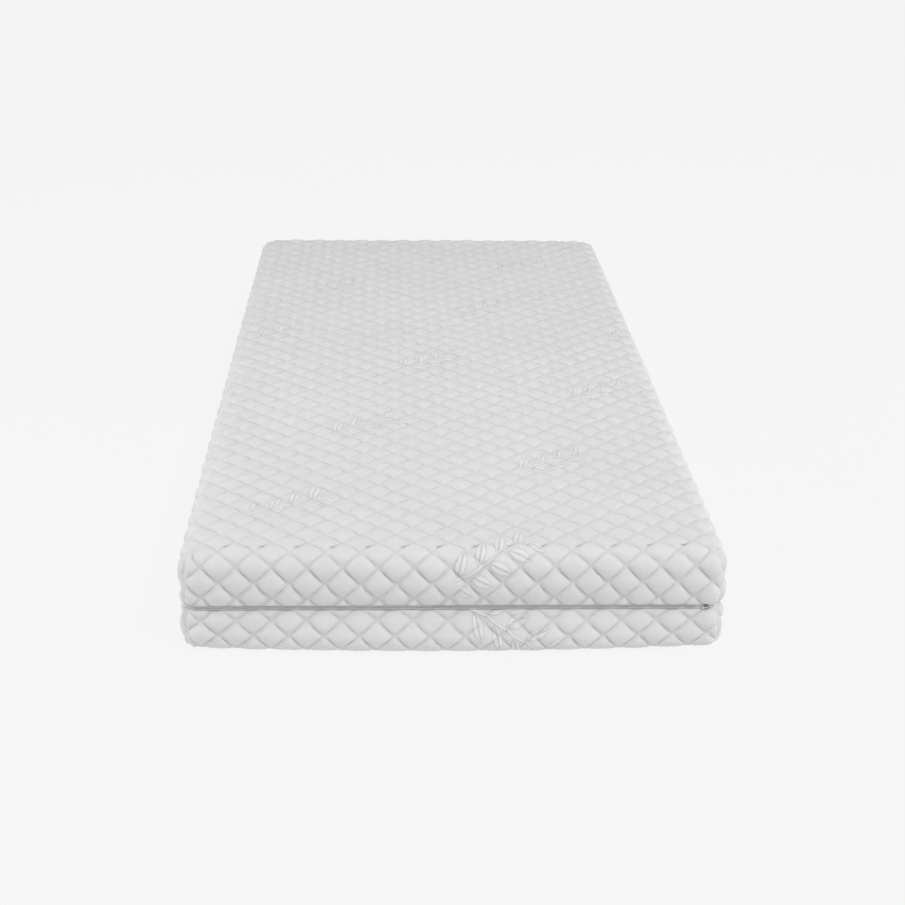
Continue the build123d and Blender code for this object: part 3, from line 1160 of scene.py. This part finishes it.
def build_quilting():
    """From diamond coordinates: nearness to a stitch line, a mask for painted crease shade, the thread's
    dashes, and flat cloth in metres.
    """
    group, given, out = effect(
        "quilting",
        [
            ("Diamond", PLACE, None), ("Tall", NUMBER, PITCH_Y),
            ("Stitch", NUMBER, 0.0032), ("Thread", NUMBER, 0.00045),
        ],
        [("Crease shade", NUMBER), ("Thread", NUMBER), ("Flat", PLACE)],
    )
    a, b = parts_of(group, given["Diamond"])[:2]
    side = float(np.hypot(PITCH_X, PITCH_Y) / 2)
    square = float(PITCH_X * PITCH_Y / 2 / side)
    lines = []
    for across, along in ((a, b), (b, a)):
        off = far(group, minus(group, across, maths(group, "ROUND", across)))
        metres = times(group, off, square)
        stitches = over(group, times(group, along, side), given["Stitch"])
        dash = far(group, minus(group, maths(group, "FRACT", stitches), 0.5))
        on_dash = between(group, dash, *DASH_EDGE)
        on_line = between(group, over(group, metres, given["Thread"]), 1.0, 0.4)
        lines.append((metres, times(group, on_dash, on_line)))
    nearest = maths(group, "MINIMUM", lines[0][0], lines[1][0])
    # Painted shade: strongest on the stitch line and fading across the crease width, it stands for the shade
    # in the grooves.
    group.links.new(between(group, nearest, CREASE_SHADE_WIDTH, 0.0), out["Crease shade"])
    group.links.new(maths(group, "MAXIMUM", lines[0][1], lines[1][1]), out["Thread"])
    u = times(group, minus(group, a, b), PITCH_X / 2)
    v = times(group, times(group, plus(group, a, b), given["Tall"]), 0.5)
    group.links.new(add(group, "ShaderNodeCombineXYZ", {0: u, 1: v}), out["Flat"])
    return group


# %% Foam cells
def build_foam_cells():
    """Open cells of foam: small round pores of mixed size."""
    group, given, out = effect(
        "foam_cells",
        [("Place", PLACE, None), ("Cell", NUMBER, 0.0012)],
        [("Height", NUMBER), ("Pore", NUMBER)],
    )
    scale = over(group, 1.0, given["Cell"])
    near = add(group, "ShaderNodeTexVoronoi", {"Vector": given["Place"], "Scale": scale}, feature="F1")
    lump_inputs = {"Vector": given["Place"], "Scale": times(group, scale, 0.3)}
    lump = add(group, "ShaderNodeTexNoise", lump_inputs)
    pore = between(group, plus(group, near, times(group, lump, 0.3)), 0.62, 0.30)
    group.links.new(pore, out["Pore"])
    group.links.new(minus(group, 1.0, pore), out["Height"])
    return group


# %% Build the shared effects
KNIT_LOOPS = build_knit_loops()
SOFT_UNEVENNESS = build_soft_unevenness()
QUILTING = build_quilting()
FOAM_CELLS = build_foam_cells()
print("shared effects:", [g.name for g in (KNIT_LOOPS, SOFT_UNEVENNESS, QUILTING, FOAM_CELLS)])


def object_place(tree):
    """The place on a piece in metres, which stays with the piece as it moves."""
    return tree.nodes.new("ShaderNodeTexCoord").outputs["Object"]


# %% [markdown]
# ## The woven leaf sprig
# Jacquard knits often carry a small figure in thicker loops, scattered on a slanting grid.
# A plain sprig of leaves is drawn here with distances only: a stem, and leaves that repeat
# along it on both sides, with a ring of painted shade round them where the raised loops would
# cast shade. It is one group, and each half of the cover shifts it by its own offset.

# %% Draw the sprig
SPRIG_STEP_ONE = (0.345, -0.180)
SPRIG_STEP_TWO = (0.130, 0.365)
SPRIG_TILT = np.deg2rad(24)
SPRIG_HALF = 0.080
SPRIG_FADE = 0.006
STEM_BEND, STEM_SWAY = 24.0, 0.007
STEM_EDGE, STEM_SHADE_RING = (0.0026, 0.0016), (0.0052, 0.0030)
LEAF_GAP = 0.038
LEAF_OUT = 0.0200
LEAF_LONG, LEAF_WIDE = 0.0235, 0.0088
LEAF_LEAN = (0.62, 0.78)
VEIN_EDGE = (0.0009, 0.0018)
LEAF_EDGE, LEAF_SHADE_RING = (0.0, 0.14), (-0.34, -0.06)


def build_sprig():
    """A mask of one sprig in every cell of a slanting grid, and a ring of painted shade round it, from flat
    cloth in metres.
    """
    group, given, out = effect(
        "leaf_sprig",
        [("Flat", PLACE, None), ("Shift", PLACE, None)],
        [("Figure", NUMBER), ("Shade ring", NUMBER)],
    )
    moved = {0: given["Flat"], 1: given["Shift"]}
    shifted = add(group, "ShaderNodeVectorMath", moved, operation="SUBTRACT")
    u, v = parts_of(group, shifted)[:2]
    (ax, ay), (bx, by) = SPRIG_STEP_ONE, SPRIG_STEP_TWO
    area = ax * by - ay * bx

    def weighed(first, share, second, other_share):
        """The sum of two numbers, each times its share."""
        return plus(group, times(group, first, share), times(group, second, other_share))

    def lattice(x_share, y_share):
        """How far a point is along one grid step, from the nearest whole step."""
        along = weighed(u, x_share / area, v, y_share / area)
        return minus(group, along, maths(group, "ROUND", along))

    s, t = lattice(by, -bx), lattice(-ay, ax)
    x, y = weighed(s, ax, t, bx), weighed(s, ay, t, by)
    cosine, sine = float(np.cos(SPRIG_TILT)), float(np.sin(SPRIG_TILT))
    p = weighed(x, cosine, y, sine)
    bend = times(group, maths(group, "SINE", times(group, p, STEM_BEND)), STEM_SWAY)
    q = minus(group, weighed(y, cosine, x, -sine), bend)
    inside = between(group, far(group, p), SPRIG_HALF, SPRIG_HALF - SPRIG_FADE)
    figure, shade_ring = between(group, far(group, q), *STEM_EDGE), between(group, far(group, q), *STEM_SHADE_RING)
    lean, rise = LEAF_LEAN
    for side, offset in ((1, 0.0), (-1, 0.5)):
        step = maths(group, "FRACT", plus(group, over(group, p, LEAF_GAP), offset))
        leaf_p = times(group, minus(group, step, 0.5), LEAF_GAP)
        leaf_q = minus(group, times(group, q, side), LEAF_OUT)
        reach = over(group, weighed(leaf_p, lean, leaf_q, rise), LEAF_LONG)
        off_vein = far(group, weighed(leaf_q, lean, leaf_p, -rise))
        taper = minus(group, 1.0, times(group, reach, reach))
        leaf = minus(group, taper, over(group, off_vein, LEAF_WIDE))
        blade = times(group, between(group, leaf, *LEAF_EDGE), between(group, off_vein, *VEIN_EDGE))
        figure = maths(group, "MAXIMUM", figure, blade)
        shade_ring = maths(group, "MAXIMUM", shade_ring, between(group, leaf, *LEAF_SHADE_RING))
    group.links.new(times(group, figure, inside), out["Figure"])
    # Painted shade: the ring round the stem and leaves, off the figure itself, darkens the cloth where the
    # raised loops would cast shade.
    outline = times(group, shade_ring, minus(group, 1.0, figure))
    group.links.new(times(group, outline, inside), out["Shade ring"])
    return group


LEAF_SPRIG = build_sprig()

# %% [markdown]
# ## The finishes
# The cover is a matt white stretch knit with a soft bloom at grazing angles, which a little
# sheen gives. Its creases are painted a shade darker, as painted shade in the grooves, and a ring of
# painted shade circles each sprig. Its stitches show as short dashes, and faint ribs gather beside
# the zip. The other cloths reuse the same groups at their own scales.

# %% Start an uneven finish
def mottled(tree, place_on, sizes, tones, dullness):
    """The start of an uneven finish: its quick unevenness, its colour and its roughness."""
    uneven = use(tree, SOFT_UNEVENNESS, Place=place_on, Slow_size=sizes[0], Quick_size=sizes[1])
    colour = blend_colours(tree, uneven["Slow"], *tones)
    return uneven["Quick"], colour, between(tree, uneven["Quick"], 0, 1, *dullness)


# %% Finish the knit
RIB_WIDTH = 0.0026
RIB_REACH = (0.30, 0.06)
LOOP_STAND = 0.12
KNIT_RELIEF = 0.0009


def knit_finish(name, pitch_y, sprig_shift):
    """The white jacquard knit of one half of the cover, with painted shade along the stitch creases and round
    the sprigs.
    """
    made, tree, shader = finish(name, Sheen_Weight=0.32, Sheen_Roughness=0.42, Specular_IOR_Level=0.25)
    quilt = add(tree, "ShaderNodeAttribute", output="Vector", attribute_name="quilt")
    stitched = use(tree, QUILTING, Diamond=quilt, Tall=pitch_y)
    to_lip = parts_of(tree, quilt)[2]
    uneven = use(tree, SOFT_UNEVENNESS, Place=object_place(tree))
    loops = use(tree, KNIT_LOOPS, Place=stitched["Flat"])["Height"]
    leaves = use(tree, LEAF_SPRIG, Flat=stitched["Flat"], Shift=sprig_shift)
    sprig, thread = leaves["Figure"], stitched["Thread"]
    ribs = times(tree, wave(tree, to_lip, RIB_WIDTH / LIP_NEAR), between(tree, to_lip, *RIB_REACH))
    ribs = times(tree, ribs, minus(tree, 1.0, sprig))
    base = blend_colours(tree, uneven["Slow"], grey(0.685), grey(0.710))
    # Painted shade: the crease mask and the ring round each sprig darken the cloth where shade falls; the
    # other marks are the knit's own tones and its thread.
    for mask, share, tone in (
        (uneven["Quick"], 0.25, 0.65),
        (stitched["Crease shade"], 0.34, 0.56),
        (leaves["Shade ring"], 0.45, 0.56),
        (sprig, 0.60, 0.78),
        (thread, 0.6, 0.80),
    ):
        base = blend_colours(tree, times(tree, mask, share), base, grey(tone))
    height = times(tree, loops, LOOP_STAND)
    for mask, stand in ((sprig, 0.95), (ribs, 0.25), (thread, 0.30)):
        height = times_plus(tree, mask, stand, height)
    dress(tree, shader, base, between(tree, sprig, 0.0, 1.0, 0.88, 0.70), height, KNIT_RELIEF)
    return made


upper_knit.data.materials.append(knit_finish("knit_white_upper", PITCH_Y, (-0.039, -0.054, 0.0)))
lower_knit.data.materials.append(knit_finish("knit_white_lower", LOWER_PITCH_Y, (0.1076, -0.990, 0.0)))


# %% Finish the wadding and the backing
def wadding_finish():
    """Fluffy, bright fibre fill."""
    made, tree, shader = finish(
        "wadding_fibre", Sheen_Weight=0.4, Sheen_Roughness=0.6, Specular_IOR_Level=0.2
    )
    tones = grey(0.78), grey(0.86)
    quick, base, roughness = mottled(tree, object_place(tree), (0.03, 0.0016), tones, (0.85, 0.97))
    dress(tree, shader, base, roughness, quick, 0.0012)
    return made


def backing_finish():
    """Thin non-woven backing with the quilting stitches showing through, and painted shade along the stitch
    lines.
    """
    made, tree, shader = finish("backing_non_woven", Specular_IOR_Level=0.3)
    quilt = add(tree, "ShaderNodeAttribute", output="Vector", attribute_name="quilt")
    stitched = use(tree, QUILTING, Diamond=quilt)
    uneven = use(tree, SOFT_UNEVENNESS, Place=object_place(tree), Slow_size=0.02, Quick_size=0.002)
    base = blend_colours(tree, uneven["Quick"], grey(0.70, 0.01), grey(0.80, 0.01))
    # Painted shade: the cloth is darkened in the creases along the stitch lines.
    base = blend_colours(tree, times(tree, stitched["Crease shade"], 0.4), base, grey(0.58))
    base = blend_colours(tree, stitched["Thread"], base, grey(0.85))
    height = times_plus(tree, stitched["Thread"], 0.8, times(tree, uneven["Quick"], 0.4))
    roughness = between(tree, uneven["Slow"], 0, 1, 0.78, 0.92)
    dress(tree, shader, base, roughness, height, 0.0006)
    return made


WADDING = wadding_finish()
BACKING = backing_finish()
for piece, material in (
    (upper_wadding, WADDING),
    (lower_wadding, WADDING),
    (upper_backing, BACKING),
    (lower_backing, BACKING),
):
    piece.data.materials.append(material)


# %% Finish the liner
def liner_finish():
    """A fine single jersey, slightly warm."""
    made, tree, shader = finish(
        "liner_jersey", Sheen_Weight=0.15, Sheen_Roughness=0.5, Specular_IOR_Level=0.3
    )
    place_on = object_place(tree)
    loops = use(tree, KNIT_LOOPS, Place=place_on, Wale=0.0009, Course=0.0007)["Height"]
    tones = grey(0.74, 0.015), grey(0.80, 0.015)
    quick, base, roughness = mottled(tree, place_on, (0.15, 0.006), tones, (0.80, 0.92))
    base = blend_colours(tree, times(tree, loops, 0.2), base, grey(0.68, 0.015))
    dress(tree, shader, base, roughness, times_plus(tree, quick, 0.5, loops), 0.0003)
    return made


# %% Finish the foams
PORE_SHADE = 0.6


def foam_finish(name, pale, deep, cell):
    """Cut foam with open cells, a little uneven in colour."""
    made, tree, shader = finish(name, Specular_IOR_Level=0.25)
    place_on = object_place(tree)
    cells = use(tree, FOAM_CELLS, Place=place_on, Cell=cell)
    _, base, roughness = mottled(tree, place_on, (0.18, 0.01), (pale, deep), (0.86, 0.96))
    # Painted shade: the pores are darkened, standing for the shade inside the open cells.
    in_pore = tuple(PORE_SHADE * c for c in deep[:3]) + (1,)
    base = blend_colours(tree, times(tree, cells["Pore"], 0.5), base, in_pore)
    dress(tree, shader, base, roughness, cells["Height"], cell * 0.5)
    return made


liner.data.materials.append(liner_finish())
memory_foam.data.materials.append(
    foam_finish("memory_foam_cream", (0.80, 0.74, 0.60, 1), (0.74, 0.67, 0.52, 1), 0.0008)
)
support_foam.data.materials.append(
    foam_finish("support_foam_white", (0.80, 0.80, 0.78, 1), (0.72, 0.72, 0.70, 1), 0.0014)
)


# %% Finish the zip's tapes and coils
TWILL = 0.0012
SATIN_THREAD = 0.0005
LABEL_HEM = np.array([0.0045, 0.0040])


def tape_finish():
    """A twill tape with a ribbed edge."""
    made, tree, shader = finish("zip_tape_white", Specular_IOR_Level=0.3)
    place_on = object_place(tree)
    x, y, z = parts_of(tree, place_on)
    twill = wave(tree, plus(tree, plus(tree, x, y), z), TWILL)
    tones = grey(0.84), grey(0.88)
    _, base, roughness = mottled(tree, place_on, (0.10, 0.003), tones, (0.66, 0.82))
    base = blend_colours(tree, between(tree, twill, -1, 1, 0.0, 0.4), base, grey(0.92))
    dress(tree, shader, base, roughness, twill, 0.0001)
    return made


def coil_finish():
    """Slightly clear nylon strand."""
    made, tree, shader = finish("zip_coil_nylon", Specular_IOR_Level=0.5, Coat_Weight=0.15)
    tones = grey(0.86), grey(0.90)
    quick, base, roughness = mottled(tree, object_place(tree), (0.05, 0.001), tones, (0.32, 0.48))
    dress(tree, shader, base, roughness, quick, 0.00004)
    return made


# %% Finish the metal and the label
def zinc_finish():
    """Die-cast zinc with brighter worn edges and dull recesses."""
    made, tree, shader = finish("zip_zinc", Specular_IOR_Level=0.5)
    worn = tree.nodes.new("ShaderNodeNewGeometry").outputs["Pointiness"]
    edge = between(tree, worn, 0.50, 0.60)
    tones = grey(0.24), grey(0.32)
    quick, base, roughness = mottled(tree, object_place(tree), (0.006, 0.0008), tones, (0.26, 0.46))
    base = blend_colours(tree, edge, base, grey(0.62))
    tree.links.new(between(tree, edge, 0, 1, 0.85, 1.0), shader.inputs["Metallic"])
    dress(tree, shader, base, roughness, quick, 0.00003)
    return made


def label_finish():
    """White satin with a fine lengthwise thread and a folded, stitched top edge."""
    made, tree, shader = finish("label_satin", Specular_IOR_Level=0.5, Sheen_Weight=0.2)
    place_on = object_place(tree)
    x, _, z = parts_of(tree, place_on)
    threads = wave(tree, x, SATIN_THREAD)
    uneven = use(tree, SOFT_UNEVENNESS, Place=place_on, Slow_size=0.02, Quick_size=0.002)
    hem = between(tree, z, *(label_high[2] - LABEL_HEM))
    base = blend_colours(tree, uneven["Slow"], grey(0.78), grey(0.84))
    base = blend_colours(tree, times(tree, hem, 0.5), base, grey(0.66))
    roughness = between(tree, threads, -1, 1, 0.30, 0.44)
    dress(tree, shader, base, roughness, times_plus(tree, hem, 2.0, threads), 0.00005)
    return made


# %% Put the finishes on
TAPE, COIL, ZINC = tape_finish(), coil_finish(), zinc_finish()
for name in ("zip_tape_upper", "zip_tape_lower"):
    bpy.data.objects[name].data.materials.append(TAPE)
for piece in (upper_coil, lower_coil):
    piece.data.materials.append(COIL)
label.data.materials.append(label_finish())
for node in ("zip_slider_body", "zip_pull_ring", "upper_zip_stops", "lower_zip_stops"):
    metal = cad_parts[node]
    metal.data.materials.clear()
    metal.data.materials.append(ZINC)
print("finishes made:", len(bpy.data.materials))

# %% [markdown]
# ## Floor, light and camera
# White goods are shot on white with broad, even light, so that only soft shade draws the
# pillows. The floor glows a little, which keeps the ground as pale as the room. The room itself
# is bright near the horizon and dimmer overhead, so the walls are lit more than the top.
# One strong key light, high on the right, gives every pillow its shaded side, and five weak
# softboxes lift the front, the long sides and the two ends of the top.

# %% Lay the floor
FLOOR_REACH = 40.0
FLOOR_GLOW = 0.87
reach = (-FLOOR_REACH, FLOOR_REACH)
floor_mesh = bpy.data.meshes.new("studio_floor")
floor_mesh.from_pydata([(x, y, 0) for y in reach for x in reach], [], [(0, 1, 3, 2)])
floor = bpy.data.objects.new("studio_floor", floor_mesh)
bpy.context.collection.objects.link(floor)
floor_paint, _, floor_shader = finish("studio_floor_paint", Roughness=0.9, Specular_IOR_Level=0.0)
floor_shader.inputs["Base Color"].default_value = grey(0.05)
floor_shader.inputs["Emission Color"].default_value = grey(1.0)
floor_shader.inputs["Emission Strength"].default_value = FLOOR_GLOW
floor_mesh.materials.append(floor_paint)

# %% Light the room
GLOW_FROM, GLOW_TO = 0.10, 0.34
GLOW_LOW, GLOW_HIGH = 0.92, 0.41
room = bpy.data.worlds.new("studio_room")
bpy.context.scene.world = room
room.use_nodes = True
sky, sky_shader = room.node_tree, room.node_tree.nodes["Background"]
sky_shader.inputs["Color"].default_value = grey(1.0)
upwards = parts_of(sky, sky.nodes.new("ShaderNodeTexCoord").outputs["Generated"])[2]
glow = between(sky, upwards, GLOW_FROM, GLOW_TO, GLOW_LOW, GLOW_HIGH)
sky.links.new(glow, sky_shader.inputs["Strength"])


def softbox(name, power, size, place_at, aim):
    """A large square light that points at aim."""
    data = bpy.data.lights.new(name, "AREA")
    data.energy, data.size = power, size
    lamp = bpy.data.objects.new(name, data)
    lamp.location = place_at
    lamp.rotation_euler = (Vector(aim) - Vector(place_at)).to_track_quat("-Z", "Y").to_euler()
    bpy.context.collection.objects.link(lamp)
    print(f"{name}: {power} W, {size} m across")


softbox("key_high_right", 330, 1.6, (3.5, -4.0, 7.6), (0.0, -0.4, 0.1))
softbox("softbox_front", 5, 0.9, (-0.6, -3.2, 1.9), (0.0, -0.6, 0.1))
softbox("softbox_over_front", 6, 0.9, (0.1, -1.0, 2.9), (0.0, -0.8, 0.1))
softbox("softbox_over_back", 7, 1.2, (0.1, 0.9, 2.9), (0.0, 0.7, 0.1))
softbox("softbox_left", 16, 0.8, (-2.4, -0.9, 0.9), (-0.45, -0.3, 0.1))
softbox("softbox_right", 8, 0.8, (2.4, -0.9, 0.9), (0.45, -0.3, 0.1))

# %% Place the camera
SENSOR = 0.036
LENS_PER_SENSOR = 1.72504
FAR_ENOUGH = 100.0
CAMERA_AT = Vector((-0.1060, -3.2064, 1.3252))
YAW, PITCH, ROLL = np.deg2rad([2.498, 23.197, 0.981])
camera_data = bpy.data.cameras.new("studio_camera")
camera = bpy.data.objects.new("studio_camera", camera_data)
bpy.context.collection.objects.link(camera)
forward = Vector((np.sin(YAW) * np.cos(PITCH), np.cos(YAW) * np.cos(PITCH), -np.sin(PITCH)))
right = Vector((np.cos(YAW), -np.sin(YAW), 0.0))
above = right.cross(forward)
tilted_right = right * np.cos(ROLL) + above * np.sin(ROLL)
tilted_above = above * np.cos(ROLL) - right * np.sin(ROLL)
turn = Matrix((tilted_right, tilted_above, -forward)).transposed().to_4x4()
camera.matrix_world = Matrix.Translation(CAMERA_AT) @ turn
camera_data.sensor_width = SENSOR * 1000
camera_data.lens = SENSOR * LENS_PER_SENSOR * 1000
camera_data.clip_end = FAR_ENOUGH
bpy.context.scene.camera = camera
bpy.context.scene.view_settings.view_transform = "Standard"
